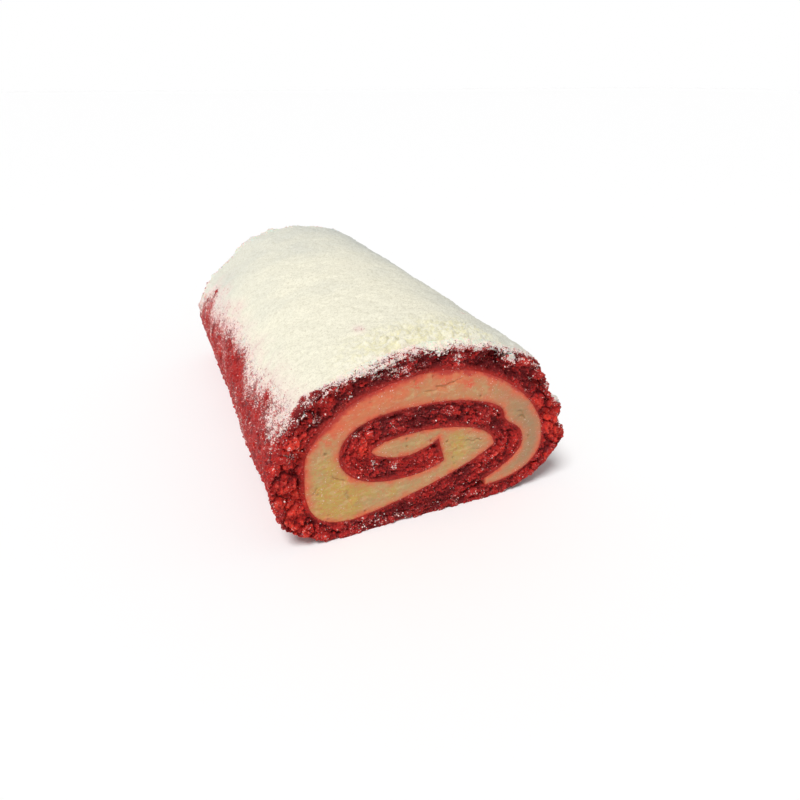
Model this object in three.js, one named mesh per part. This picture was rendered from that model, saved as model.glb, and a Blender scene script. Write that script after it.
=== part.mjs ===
// A red velvet swiss roll: one sheet of sponge rolled up round a layer of cream, cut square at both
// ends and dusted with milk powder. Millimetres, +Z up. The roll lies along Y on its flat underside,
// with its cut face towards -Y.
import * as THREE from 'three';

// Driving dimensions
const rollLength = 188;
const pieceGap = 0.3; // kept between touching pieces
const seamGap = 0.4; // between the tucked end of the sheet and the turn above it
const coatThickness = 1.1;
const creamRecess = 0.5; // the cream's cut face lies this far behind the sponge's
const creamTip = 0.5; // the cream's outer end is this thick
const tipStep = 0.25;

// The sheet's middle line in the section, from its inner end to its outer end. It runs through the
// extreme points of each turn, and the quarter that leads to each is a superellipse of the given
// fullness. Thick is the sponge's thickness there, swell what it gains halfway along the quarter.
const innerEnd = { x: 6.0, z: 27.4, thick: 10.1 };
const turns = [
  { side: 'bottom', x: -9.1, z: 23.3, thick: 9.0, fullness: 2.0, swell: 0, steps: 7 },
  { side: 'left', x: -27.4, z: 32.5, thick: 11.7, fullness: 2.0, swell: 0, steps: 8 },
  { side: 'top', x: -5.6, z: 41.6, thick: 10.3, fullness: 2.4, swell: 0, steps: 9 },
  { side: 'right', x: 33.2, z: 22.2, thick: 12.7, fullness: 2.2, swell: -0.7, steps: 12 },
  { side: 'bottom', x: -28.7, z: 3.0, thick: 6.8, fullness: 1.5, swell: 1.3, steps: 16 },
  { side: 'left', x: -50.7, z: 26.9, thick: 10.9, fullness: 2.65, swell: 0, steps: 11 },
  { side: 'top', x: 0.8, z: 62.7, thick: 8.6, fullness: 2.17, swell: 0.4, steps: 14 },
  { side: 'right', x: 52.1, z: 21.1, thick: 7.9, fullness: 1.92, swell: 1.5, steps: 16 },
  { side: 'bottom', x: 23.7, z: 2.5, thick: 6.0, fullness: 2.1, swell: -1.2, steps: 12 },
];
const outerEnd = { x: -5.5, z: 0.9, thick: 2.6, steps: 7 };
const innerRight = 3; // numbers of some of the turns: the right side inside the roll,
const underside = 4; // the underside that follows, where the sheet comes to the outside,
const outerTop = 6; // the top of the outermost turn,
const outerRight = 7; // its right side,
const tuck = 8; // and the underside where the sheet's outer end is tucked in
const skinLead = 6; // the outside starts this many stations before the underside's extreme point
const pressedFrom = 19; // the tucked end lies against the turn above it to the left of this X,
const pressedFully = 9; // and fully to the left of this one
const curlReach = 14; // the sheet's faces can cross themselves within this many stations

// Where the cream bulges out into the turn inside it
const creamBulge = { x: 35.5, z: 34, depth: 3.6, radius: 5.5 };

// Relief of the sponge: crumbs on the cut faces, dents and crumb lumps on the outside
const crumbDepth = 0.9;
const crumbSize = 2.2;
const skinRelief = 0.55;
const skinSize = 13;
const endCrumble = { depth: 0.8, covered: 0.3, size: 4.4, reach: 12 };
const lumps = [
  { x: 40, z: 55, reach: 9, height: 1.0, y: -94, along: 12 },
  { x: 51, z: 41.5, reach: 6, height: -1.7, y: -94, along: 10 },
  { x: 56, z: 34.5, reach: 5.5, height: 2.2, y: -92, along: 9 },
  { x: 55, z: 28.5, reach: 4, height: -1.2, y: -94, along: 9 },
  { x: 58, z: 19, reach: 6.5, height: 6.4, y: -92, along: 7 },
  { x: -56, z: 23, reach: 5, height: 0.9, y: -92, along: 8 },
  { x: -53, z: 12, reach: 7, height: 0.9, y: -92, along: 9 },
  { x: -55, z: 30, reach: 6, height: 0.7, y: -92, along: 8 },
];
// Broad swells of the outside, which start from nothing at the front rim
const swells = [
  { x: 18, z: 61.4, reach: 32, height: 3.8, y: 8, along: 146 },
  { x: 46, z: 50, reach: 14, height: 1.3, y: -60, along: 50 },
  { x: -57, z: 20, reach: 14, height: 1.5, y: -50, along: 35 },
  { x: -42, z: 54, reach: 18, height: -5, y: 94, along: 35 },
];
const swellRise = 9; // they are full this far behind the rim
const backShift = 50; // makes the crumbs of the back cut face differ from those of the front one

// Grid steps: across the sheet's thickness on the cut faces, and along the roll on the outside
const stepsAcross = 3;
const stepsAlong = 24;

// The coat of powder runs from a low edge on the left, over the top, to a low edge on the right. Both
// edges wander by a few stations of the grid, and the coat stops a little short of the cut faces.
const coatEdge = { leftHeight: 36, rightHeight: 24, wander: 1.6, wanderSize: 26 };
const coatMargin = { front: 3.2, back: 3.2, ragged: 1.8, raggedSize: 1.7 };
const coatBed = coatThickness + 0.6; // how far the sponge is sunk under the coat
const coatFade = 3; // stations outside the coat's edge over which the sponge comes up again

// A repeatable random number from 0 to 1 for each lattice point.
function latticeValue(ix, iy, iz, seed) {
  let h = Math.imul(ix, 374761393) ^ Math.imul(iy, 668265263) ^ Math.imul(iz, 2246822519);
  h ^= Math.imul(seed + 17, 1274126177);
  h = Math.imul(h ^ (h >>> 15), 2246822519);
  h = Math.imul(h ^ (h >>> 13), 3266489917);
  return ((h ^ (h >>> 16)) >>> 0) / 4294967296;
}

// Smooth noise from -1 to 1 with features of the given size.
function noise(x, y, z, size, seed) {
  const cell = [x, y, z].map((v) => Math.floor(v / size));
  const part = [x, y, z].map((v, i) => v / size - cell[i]);
  const ease = part.map((t) => t * t * (3 - 2 * t));
  let sum = 0;
  for (let corner = 0; corner < 8; corner++) {
    const bits = [corner & 1, (corner >> 1) & 1, (corner >> 2) & 1];
    const weight = bits.reduce((w, bit, i) => w * (bit ? ease[i] : 1 - ease[i]), 1);
    sum += weight * latticeValue(cell[0] + bits[0], cell[1] + bits[1], cell[2] + bits[2], seed);
  }
  return 2 * sum - 1;
}

// The quarter of a superellipse that leads from one extreme point to the next, as stations.
function quarter(from, to) {
  const levelStart = from.side === 'bottom' || from.side === 'top';
  const centre = levelStart ? { x: from.x, z: to.z } : { x: to.x, z: from.z };
  const power = 2 / to.fullness;
  const stations = [];
  for (let i = 1; i <= to.steps; i++) {
    const part = i / to.steps;
    const leave = i < to.steps ? Math.cos((part * Math.PI) / 2) ** power : 0;
    const arrive = Math.sin((part * Math.PI) / 2) ** power;
    stations.push({
      x: centre.x + (from.x - centre.x) * leave + (to.x - centre.x) * arrive,
      z: centre.z + (from.z - centre.z) * leave + (to.z - centre.z) * arrive,
      thick: THREE.MathUtils.lerp(from.thick, to.thick, part) + to.swell * Math.sin(part * Math.PI) ** 2,
    });
  }
  return stations;
}

// The whole middle line: a short bend from the inner end, the quarters, and the tucked tail.
function sheetStations() {
  const stations = [];
  const first = turns[0];
  for (let i = 0; i <= first.steps; i++) {
    const part = i / first.steps;
    stations.push({
      x: THREE.MathUtils.lerp(innerEnd.x, first.x, part),
      z: THREE.MathUtils.lerp(innerEnd.z, first.z, 1 - (1 - part) ** 2),
      thick: THREE.MathUtils.lerp(innerEnd.thick, first.thick, part),
    });
  }
  for (let i = 1; i < turns.length; i++) {
    stations.push(...quarter(turns[i - 1], turns[i]));
  }
  const last = turns[turns.length - 1];
  for (let i = 1; i <= outerEnd.steps; i++) {
    const part = i / outerEnd.steps;
    stations.push({
      x: THREE.MathUtils.lerp(last.x, outerEnd.x, part),
      z: THREE.MathUtils.lerp(last.z, outerEnd.z, part),
      thick: THREE.MathUtils.lerp(last.thick, outerEnd.thick, part),
    });
  }
  return stations;
}

// Unit normals of the middle line, pointing out of the roll.
function outwardNormals(stations) {
  return stations.map((station, i) => {
    const before = stations[Math.max(i - 1, 0)];
    const after = stations[Math.min(i + 1, stations.length - 1)];
    const length = Math.hypot(after.x - before.x, after.z - before.z);
    return { x: -(after.z - before.z) / length, z: (after.x - before.x) / length };
  });
}

// Where two segments of a line cross, or null.
function crossing(a, b, c, d) {
  const across = (b.x - a.x) * (d.z - c.z) - (b.z - a.z) * (d.x - c.x);
  if (Math.abs(across) < 1e-9) {
    return null;
  }
  const t = ((c.x - a.x) * (d.z - c.z) - (c.z - a.z) * (d.x - c.x)) / across;
  const u = ((c.x - a.x) * (b.z - a.z) - (c.z - a.z) * (b.x - a.x)) / across;
  const inside = t > 0 && t < 1 && u > 0 && u < 1;
  return inside ? { x: a.x + t * (b.x - a.x), z: a.z + t * (b.z - a.z) } : null;
}

// Points spread evenly along a line, as many as asked for.
function spread(line, count) {
  const lengths = [0];
  for (let i = 1; i < line.length; i++) {
    lengths.push(lengths[i - 1] + Math.hypot(line[i].x - line[i - 1].x, line[i].z - line[i - 1].z));
  }
  const points = [];
  let at = 1;
  for (let i = 0; i < count; i++) {
    const goal = (lengths[lengths.length - 1] * i) / (count - 1);
    while (at < line.length - 1 && lengths[at] < goal) {
      at++;
    }
    const part = (goal - lengths[at - 1]) / (lengths[at] - lengths[at - 1]);
    points.push({
      x: THREE.MathUtils.lerp(line[at - 1].x, line[at].x, part),
      z: THREE.MathUtils.lerp(line[at - 1].z, line[at].z, part),
    });
  }
  return points;
}

// A face line that crosses itself in a tight curl is cut at the crossing, which leaves a crease.
function untangle(line) {
  for (let i = 0; i < line.length - 3; i++) {
    for (let j = Math.min(i + curlReach, line.length - 2); j > i + 1; j--) {
      const crease = crossing(line[i], line[i + 1], line[j], line[j + 1]);
      if (crease) {
        const points = [line[i - 1], line[i], crease, line[j + 1], line[j + 2]];
        line.splice(i - 1, j - i + 4, ...spread(points, j - i + 4));
        return untangle(line);
      }
    }
  }
  return line;
}

// A line moved out of the roll by a distance, which may differ from point to point.
function movedOut(line, distanceAt) {
  const normals = outwardNormals(line);
  const moved = line.map((point, i) => ({
    x: point.x + normals[i].x * distanceAt(point),
    z: point.z + normals[i].z * distanceAt(point),
  }));
  return untangle(moved);
}

// The height of a line above a given X, on its stretch between two stations.
function heightAt(line, first, last, x) {
  for (let i = first; i < last; i++) {
    const [a, b] = [line[i], line[i + 1]];
    if ((a.x - x) * (b.x - x) <= 0 && a.x !== b.x) {
      return THREE.MathUtils.lerp(a.z, b.z, (x - a.x) / (b.x - a.x));
    }
  }
  return Infinity;
}

// Both faces of the sheet. The cream bulges into the outer face at one place, the inner end is cut
// upright, and the tucked tail is pressed up against the turn above it.
function sheetFaces(stations) {
  const outer = movedOut(stations, (station) => station.thick / 2);
  const inner = movedOut(stations, (station) => -station.thick / 2);
  for (const point of outer) {
    const away = Math.hypot(point.x - creamBulge.x, point.z - creamBulge.z);
    const pull = creamBulge.depth * Math.exp(-((away / creamBulge.radius) ** 2));
    const inward = Math.hypot(point.x, point.z - turns[0].z);
    point.x -= (point.x / inward) * pull;
    point.z -= ((point.z - turns[0].z) / inward) * pull;
  }
  outer[0].x = innerEnd.x;
  const [runStart, runEnd] = [stationOf(innerRight), stationOf(underside)];
  for (let i = stationOf(outerRight); i < stations.length; i++) {
    const above = heightAt(outer, runStart, runEnd, inner[i].x) - seamGap;
    const pressed = 1 - THREE.MathUtils.smoothstep(inner[i].x, pressedFully, pressedFrom);
    if (above < Infinity) {
      inner[i].z = THREE.MathUtils.lerp(Math.min(inner[i].z, above), above, pressed);
    }
  }
  return { outer, inner };
}

// The number of the station that lies on a turn's extreme point.
function stationOf(turn) {
  let number = turns[0].steps;
  for (let i = 1; i <= turn; i++) {
    number += turns[i].steps;
  }
  return number;
}

// A closed mesh from points and triangles, each triangle wound so that it faces out.
function solid(points, triangles) {
  const geometry = new THREE.BufferGeometry();
  geometry.setAttribute('position', new THREE.Float32BufferAttribute(points.flat(), 3));
  geometry.setIndex(triangles.flat());
  geometry.computeVertexNormals();
  return geometry;
}

// How far the outside stands in or out at a place: soft dents, crumbling at the ends, crumb lumps.
// Under the coat the ends crumble less.
function skinHeight(x, y, z, covered) {
  const fromEnd = rollLength / 2 - Math.abs(y);
  const atEnd = Math.exp(-((fromEnd / endCrumble.reach) ** 2));
  let height = skinRelief * noise(x, y, z, skinSize, 1);
  const crumble = covered ? endCrumble.covered : endCrumble.depth;
  height += crumble * atEnd * noise(x, y, z, endCrumble.size, 2);
  const bump = (place) => {
    const away = Math.hypot(x - place.x, z - place.z) / place.reach;
    const along = (y - place.y) / place.along;
    return place.height * Math.exp(-away * away - along * along);
  };
  const risen = THREE.MathUtils.smoothstep(y + rollLength / 2, 0, swellRise);
  for (const lump of lumps) {
    height += bump(lump);
  }
  for (const swell of swells) {
    height += risen * bump(swell);
  }
  return height;
}

const stations = sheetStations();
const normals = outwardNormals(stations);
const faces = sheetFaces(stations);
const skinStart = stationOf(underside) - skinLead;
const coatStart = stations.findIndex((s, i) => i > skinStart && s.z > coatEdge.leftHeight);
const coatEnd = stations.findIndex((s, i) => i > stationOf(outerTop) && s.z < coatEdge.rightHeight);

// A point of the outside at a station and a distance along the roll, sunk by a depth.
function skinPoint(i, y, sink) {
  const { x, z } = faces.outer[i];
  const height = skinHeight(x, y, z, sink > 0) - sink;
  return [x + normals[i].x * height, y, Math.max(z + normals[i].z * height, 0)];
}

// The same between the points of the grid, so that the coat lies flat on the sponge.
function pointBetween(station, y, sink) {
  const blend = (a, b, part) => a.map((value, axis) => THREE.MathUtils.lerp(value, b[axis], part));
  const place = ((y + rollLength / 2) / rollLength) * stepsAlong;
  const row = Math.min(Math.floor(place), stepsAlong - 1);
  const first = Math.floor(station);
  const [a, b] = [row, row + 1].map((j) => {
    const corners = [first, first + 1].map((i) => skinPoint(i, rowPlace(j), sink));
    return blend(...corners, station - first);
  });
  return blend(a, b, place - row);
}

// The stations, with a fraction, where the coat's two long edges lie at a distance along the roll.
function coatSides(y) {
  const wander = (seed) => coatEdge.wander * noise(0, y, 0, coatEdge.wanderSize, seed);
  return { left: coatStart + wander(11), right: coatEnd + wander(12) };
}

// How far the coat runs towards each cut face at a station.
function coatEnds(i) {
  const ragged = (seed) => coatMargin.ragged * noise(i, 0, 0, coatMargin.raggedSize, seed);
  return {
    from: -rollLength / 2 + coatMargin.front + ragged(5),
    to: rollLength / 2 - coatMargin.back - ragged(6),
  };
}

// The sponge is sunk under the coat, and comes up again outside the coat's edge.
function sinkAt(i, y) {
  const { left, right } = coatSides(y);
  return coatBed * THREE.MathUtils.clamp(Math.min(i - left, right - i) + coatFade, 0, 1);
}

// The places along the roll where the outside has its rows of points.
function rowPlace(j) {
  return rollLength * (j / stepsAlong - 0.5);
}

// A cut face's relief: every crumb stands a little in front of or behind the cut.
function cutRelief(x, z, end) {
  return crumbDepth * noise(x, end * backShift, z, crumbSize, 3);
}

// The sheet as one closed solid. The cut faces are grids across the thickness, the outside is a grid
// along the roll, and the faces that meet the cream run straight from one end to the other.
function spongeGeometry() {
  const points = [];
  const triangles = [];
  const add = (point) => points.push(point) - 1;
  const quad = (a, b, c, d) => triangles.push([a, c, b], [a, d, c]);
  const last = stations.length - 1;

  // Cut faces
  const cut = [-1, 1].map((end) => stations.map((station, i) => {
    const ids = [];
    for (let k = 0; k <= stepsAcross; k++) {
      const part = k / stepsAcross;
      const edge = k === stepsAcross && i >= skinStart;
      const y = (end * rollLength) / 2;
      const rim = edge ? skinPoint(i, y, sinkAt(i, y)) : [faces.outer[i].x, y, faces.outer[i].z];
      const x = THREE.MathUtils.lerp(faces.inner[i].x, rim[0], part);
      const z = THREE.MathUtils.lerp(faces.inner[i].z, rim[2], part);
      ids.push(add([x, y + end * (cutRelief(x, z, end) - crumbDepth), z]));
    }
    return ids;
  }));
  for (let i = 0; i < last; i++) {
    for (let k = 0; k < stepsAcross; k++) {
      quad(cut[0][i][k], cut[0][i][k + 1], cut[0][i + 1][k + 1], cut[0][i + 1][k]);
      quad(cut[1][i][k], cut[1][i + 1][k], cut[1][i + 1][k + 1], cut[1][i][k + 1]);
    }
  }

  // The faces that meet the cream, and the sheet's two long edges
  const [front, back] = cut;
  for (let i = 0; i < last; i++) {
    quad(front[i][0], front[i + 1][0], back[i + 1][0], back[i][0]);
    if (i < skinStart - 1) {
      quad(front[i][stepsAcross], back[i][stepsAcross], back[i + 1][stepsAcross], front[i + 1][stepsAcross]);
    }
  }
  for (let k = 0; k < stepsAcross; k++) {
    quad(front[0][k], back[0][k], back[0][k + 1], front[0][k + 1]);
  }

  // The outside, row by row along the roll
  const skin = [];
  for (let i = skinStart; i <= last; i++) {
    const row = [front[i][stepsAcross]];
    for (let j = 1; j < stepsAlong; j++) {
      row.push(add(skinPoint(i, rowPlace(j), sinkAt(i, rowPlace(j)))));
    }
    skin.push([...row, back[i][stepsAcross]]);
  }
  for (let i = 0; i < skin.length - 1; i++) {
    for (let j = 0; j < stepsAlong; j++) {
      quad(skin[i][j], skin[i][j + 1], skin[i + 1][j + 1], skin[i + 1][j]);
    }
  }

  // Fans that join the long faces to the rows of the outside
  const before = skinStart - 1;
  triangles.push([front[before][stepsAcross], skin[0][stepsAlong], back[before][stepsAcross]]);
  for (let j = 0; j < stepsAlong; j++) {
    triangles.push([front[before][stepsAcross], skin[0][j], skin[0][j + 1]]);
  }
  const edge = skin[skin.length - 1];
  for (let j = 0; j < stepsAlong; j++) {
    triangles.push([front[last][stepsAcross - 1], edge[j + 1], edge[j]]);
  }
  triangles.push([front[last][stepsAcross - 1], back[last][stepsAcross - 1], edge[stepsAlong]]);
  for (let k = 0; k < stepsAcross - 1; k++) {
    quad(front[last][k], front[last][k + 1], back[last][k + 1], back[last][k]);
  }
  return solid(points, triangles);
}

// The cream fills the space between the turns: its outline runs out along the sheet's inner face and
// back along its outer face, round the sheet's inner end, and stops where the space gets too thin.
function creamGeometry() {
  const outer = movedOut(faces.outer, () => pieceGap);
  const inner = movedOut(faces.inner, () => -pieceGap);
  outer[0].x += pieceGap;
  inner[0].x += pieceGap;
  const run = { first: stationOf(innerRight), last: stationOf(underside) };
  const tail = { first: stationOf(outerRight), last: stations.length - 1 };
  let tipX = turns[tuck].x;
  const space = (x) => heightAt(outer, run.first, run.last, x) - heightAt(inner, tail.first, tail.last, x);
  while (space(tipX) > creamTip) {
    tipX -= tipStep;
  }
  const outward = inner.filter((point, i) => i < tail.first || point.x > tipX);
  const homeward = outer.filter((point, i) => i < run.first || (i < run.last && point.x > tipX));
  const outline = [...outward, ...homeward.reverse()];
  const shape = new THREE.Shape(outline.map((point) => new THREE.Vector2(point.x, point.z)));
  const depth = rollLength - 2 * (creamRecess + crumbDepth);
  const geometry = new THREE.ExtrudeGeometry(shape, { depth, bevelEnabled: false, steps: 1 });
  geometry.rotateX(Math.PI / 2);
  geometry.translate(0, depth / 2, 0);
  return geometry;
}

// The coat of powder: a thin skin with uneven edges over the sponge that is sunk for it.
function coatGeometry() {
  const points = [];
  const triangles = [];
  const add = (point) => points.push(point) - 1;
  const quad = (a, b, c, d) => triangles.push([a, c, b], [a, d, c]);
  const steps = coatEnd - coatStart;
  const layer = (sink) => {
    const grid = [];
    for (let i = 0; i <= steps; i++) {
      const ends = coatEnds(i);
      const places = [ends.from];
      for (let j = 1; j < stepsAlong; j++) {
        places.push(rowPlace(j));
      }
      places.push(ends.to);
      grid.push(places.map((y) => {
        const { left, right } = coatSides(y);
        return add(pointBetween(THREE.MathUtils.lerp(left, right, i / steps), y, sink));
      }));
    }
    return grid;
  };
  const top = layer(0);
  const under = layer(coatThickness);
  const across = top.length - 1;
  const along = top[0].length - 1;
  for (let i = 0; i < across; i++) {
    for (let j = 0; j < along; j++) {
      quad(top[i][j], top[i][j + 1], top[i + 1][j + 1], top[i + 1][j]);
      quad(under[i][j], under[i + 1][j], under[i + 1][j + 1], under[i][j + 1]);
    }
    quad(top[i][0], top[i + 1][0], under[i + 1][0], under[i][0]);
    quad(top[i][along], under[i][along], under[i + 1][along], top[i + 1][along]);
  }
  for (let j = 0; j < along; j++) {
    quad(top[0][j], under[0][j], under[0][j + 1], top[0][j + 1]);
    quad(top[across][j], top[across][j + 1], under[across][j + 1], under[across][j]);
  }
  return solid(points, triangles);
}

// A named mesh with its own material.
function piece(name, geometry, colour, roughness) {
  const material = new THREE.MeshStandardMaterial({ color: colour, roughness, metalness: 0 });
  const mesh = new THREE.Mesh(geometry, material);
  mesh.name = name;
  return mesh;
}

const roll = new THREE.Group();
roll.add(piece('sponge', spongeGeometry(), 0x9c1a1e, 0.95));
roll.add(piece('cream', creamGeometry(), 0xd3b98c, 0.5));
roll.add(piece('powder_coat', coatGeometry(), 0xeceadb, 0.9));

// The origin is the middle of the roll's underside.
const box = new THREE.Box3().setFromObject(roll);
const middle = box.getCenter(new THREE.Vector3());
roll.position.set(-middle.x, -middle.y, -box.min.z);

export default roll;
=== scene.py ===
import math

import bmesh
import bpy
import numpy as np
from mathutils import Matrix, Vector, geometry, kdtree


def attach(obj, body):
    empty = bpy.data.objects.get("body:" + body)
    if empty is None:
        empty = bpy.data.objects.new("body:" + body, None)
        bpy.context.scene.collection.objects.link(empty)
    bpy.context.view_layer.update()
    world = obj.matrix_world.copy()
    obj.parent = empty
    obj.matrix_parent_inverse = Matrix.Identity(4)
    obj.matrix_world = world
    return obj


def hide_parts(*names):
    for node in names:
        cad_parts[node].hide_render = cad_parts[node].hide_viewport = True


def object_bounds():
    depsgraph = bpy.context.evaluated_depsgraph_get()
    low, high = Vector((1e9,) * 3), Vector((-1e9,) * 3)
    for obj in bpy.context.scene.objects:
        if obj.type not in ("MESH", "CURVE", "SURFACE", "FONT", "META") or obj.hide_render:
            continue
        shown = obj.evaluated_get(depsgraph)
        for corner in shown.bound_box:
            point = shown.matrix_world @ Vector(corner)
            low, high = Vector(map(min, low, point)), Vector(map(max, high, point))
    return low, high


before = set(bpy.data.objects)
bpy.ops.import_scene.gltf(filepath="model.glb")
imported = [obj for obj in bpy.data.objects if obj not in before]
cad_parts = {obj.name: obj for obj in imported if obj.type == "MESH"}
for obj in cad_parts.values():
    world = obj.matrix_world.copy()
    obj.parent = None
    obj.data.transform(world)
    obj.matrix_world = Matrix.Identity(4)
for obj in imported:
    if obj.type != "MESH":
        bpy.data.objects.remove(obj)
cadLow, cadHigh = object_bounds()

mm = 0.001  # shapes are worked out in millimetres, Blender's unit is the metre
chance = np.random.default_rng(41)

innerRight, underside, outerRight = 3, 4, 7  # numbers of some turns of the sheet


# rows of numbers as dictionaries, under the names given for their columns
def places(names, rows):
    return [dict(zip(names.split(), row)) for row in rows]


# the sheet's middle line runs through the extreme points of its turns, from its inner end
roll = {
    "length": 188,
    "shift": (-1.082, -0.0205),  # to the frame whose origin is the middle of the underside
    "innerEnd": {"x": 6.0, "z": 27.4, "thick": 10.1},
    "turns": places("side x z thick fullness swell steps", (
        ("bottom", -9.1, 23.3, 9.0, 2.0, 0, 7), ("left", -27.4, 32.5, 11.7, 2.0, 0, 8),
        ("top", -5.6, 41.6, 10.3, 2.4, 0, 9), ("right", 33.2, 22.2, 12.7, 2.2, -0.7, 12),
        ("bottom", -28.7, 3.0, 6.8, 1.5, 1.3, 16), ("left", -50.7, 26.9, 10.9, 2.65, 0, 11),
        ("top", 0.8, 62.7, 8.6, 2.17, 0.4, 14), ("right", 52.1, 21.1, 7.9, 1.92, 1.5, 16),
        ("bottom", 23.7, 2.5, 6.0, 2.1, -1.2, 12),
    )),
    "outerEnd": {"x": -5.5, "z": 0.9, "thick": 2.6, "steps": 7},
    "bulge": {"x": 35.5, "z": 34, "depth": 3.6, "radius": 5.5},  # where the cream pushes into a turn
    "pressed": (9, 19),  # the tucked end is pressed up to the turn above it to the left of these X
    "seam": 0.14,
    "uprightTo": 3,  # the inner end is cut upright as far as this station
    "skinLead": 6,  # the outside starts this many stations before the underside's extreme point
    "finer": 6,  # points for each step
}

# soft dents and crumb lumps of the outside
outside = {
    "dent": 0.55, "dentSize": 13, "crumble": 0.8, "coveredCrumble": 0.3, "crumbleSize": 4.4,
    "reach": 12,
    "lumps": places("x z reach height y along", (
        (40, 55, 9, 1.0, -94, 12), (51, 41.5, 5, -1.9, -94, 8), (55, 35, 4.6, 2.0, -92, 7),
        (55, 28.8, 2.8, -1.9, -94, 7), (58, 19, 5.4, 3.4, -92, 6), (-56, 23, 5, 0.9, -92, 8),
        (-53, 12, 7, 0.9, -92, 9), (-55, 30, 6, 0.7, -92, 8), (-54, 40, 3.6, -1.2, -24, 11),
        (-53.3, 41.5, 3.4, -1.0, 0, 7), (-56, 33, 4.5, 0.7, -14, 20), (-31.7, 61.4, 9, -0.7, 49, 14),
    )),
    # these start from nothing at the front rim
    "swells": places("x z reach height y along", (
        (18, 61.4, 32, 3.8, 8, 146), (46, 50, 14, 1.3, -60, 50), (-57, 20, 14, 1.5, -50, 35),
        (-42, 54, 18, -5, 94, 35),
    )),
    "swellRise": 9,  # and are full this far behind it
    "rim": 1.8,  # radius that the cut faces' edges are worn to
}
half = roll["length"] / 2
rimInset = outside["rim"] * (1 - math.sqrt(0.5))  # where the worn rim turns from cut face to outside


def mix(a, b, part):
    return a + (b - a) * part


def smooth(value, low, high):
    part = np.clip((value - low) / (high - low), 0, 1)
    return part * part * (3 - 2 * part)


def bell(away, width):
    return np.exp(-((away / width) ** 2))


# repeatable random numbers from 0 to 1 on a lattice, and smooth noise from -1 to 1 between them
def latticeValue(ix, iy, iz, seed):
    bits = [np.asarray(v).astype(np.int64).astype(np.uint32) for v in (ix, iy, iz)]
    h = bits[0] * np.uint32(374761393) ^ bits[1] * np.uint32(668265263) ^ bits[2] * np.uint32(2246822519)
    h = h ^ np.uint32(((seed + 17) * 1274126177) % 2**32)
    h = (h ^ (h >> np.uint32(15))) * np.uint32(2246822519)
    h = (h ^ (h >> np.uint32(13))) * np.uint32(3266489917)
    return (h ^ (h >> np.uint32(16))) / 2**32


def noise(x, y, z, size, seed):
    place = [np.atleast_1d(np.asarray(v, float)) / size for v in np.broadcast_arrays(x, y, z)]
    cell = [np.floor(v) for v in place]
    ease = [(p - c) * (p - c) * (3 - 2 * (p - c)) for p, c in zip(place, cell)]
    total = 0
    for corner in range(8):
        bit = [corner >> k & 1 for k in range(3)]
        weight = 1
        for e, b in zip(ease, bit):
            weight = weight * (e if b else 1 - e)
        total = total + weight * latticeValue(*(c + b for c, b in zip(cell, bit)), seed)
    return 2 * total - 1


def quarterLine(start, end):
    level = start["side"] in ("bottom", "top")
    cx, cz = (start["x"], end["z"]) if level else (end["x"], start["z"])
    count = end["steps"] * roll["finer"]
    part = np.arange(1, count + 1) / count
    leave = np.clip(np.cos(part * np.pi / 2), 0, 1) ** (2 / end["fullness"])
    arrive = np.sin(part * np.pi / 2) ** (2 / end["fullness"])
    return np.stack([
        cx + (start["x"] - cx) * leave + (end["x"] - cx) * arrive,
        cz + (start["z"] - cz) * leave + (end["z"] - cz) * arrive,
        mix(start["thick"], end["thick"], part) + end["swell"] * np.sin(part * np.pi) ** 2,
    ], 1)


def straightLine(start, end, bend):
    count = (end if "steps" in end else start)["steps"] * roll["finer"]
    part = np.arange(0, count + 1) / count
    fall = 1 - (1 - part) ** 2 if bend else part
    return np.stack([mix(start["x"], end["x"], part), mix(start["z"], end["z"], fall),
                     mix(start["thick"], end["thick"], part)], 1)


def outward(line):
    ahead = np.vstack([line[1:], line[-1:]]) - np.vstack([line[:1], line[:-1]])
    ahead /= np.linalg.norm(ahead, axis=1)[:, None]
    return np.stack([-ahead[:, 1], ahead[:, 0]], 1)


# a face line that crosses itself in a tight curl is cut at the crossing, which leaves a crease
def cutLoops(line, station, reach=90):
    i = 0
    while i < len(line) - 3:
        a, run = line[i], line[i + 1] - line[i]
        c = line[i + 2:i + reach]
        d = line[i + 3:i + reach + 1]
        c = c[:len(d)]
        across = run[0] * (d - c)[:, 1] - run[1] * (d - c)[:, 0]
        across[np.abs(across) < 1e-9] = 1e-9
        t = ((c - a)[:, 0] * (d - c)[:, 1] - (c - a)[:, 1] * (d - c)[:, 0]) / across
        u = ((c - a)[:, 0] * run[1] - (c - a)[:, 1] * run[0]) / across
        hits = np.nonzero((t > 0) & (t < 1) & (u > 0) & (u < 1))[0]
        if len(hits):
            j = i + 2 + hits[-1]
            line = np.vstack([line[:i + 1], a + t[hits[-1]] * run, line[j + 1:]])
            station = np.concatenate([station[:i + 1], [station[i] + 0.1], station[j + 1:]])
        i += 1
    return line, station


def between(line, station, first, last):
    return line[(station >= first) & (station <= last)]


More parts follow.
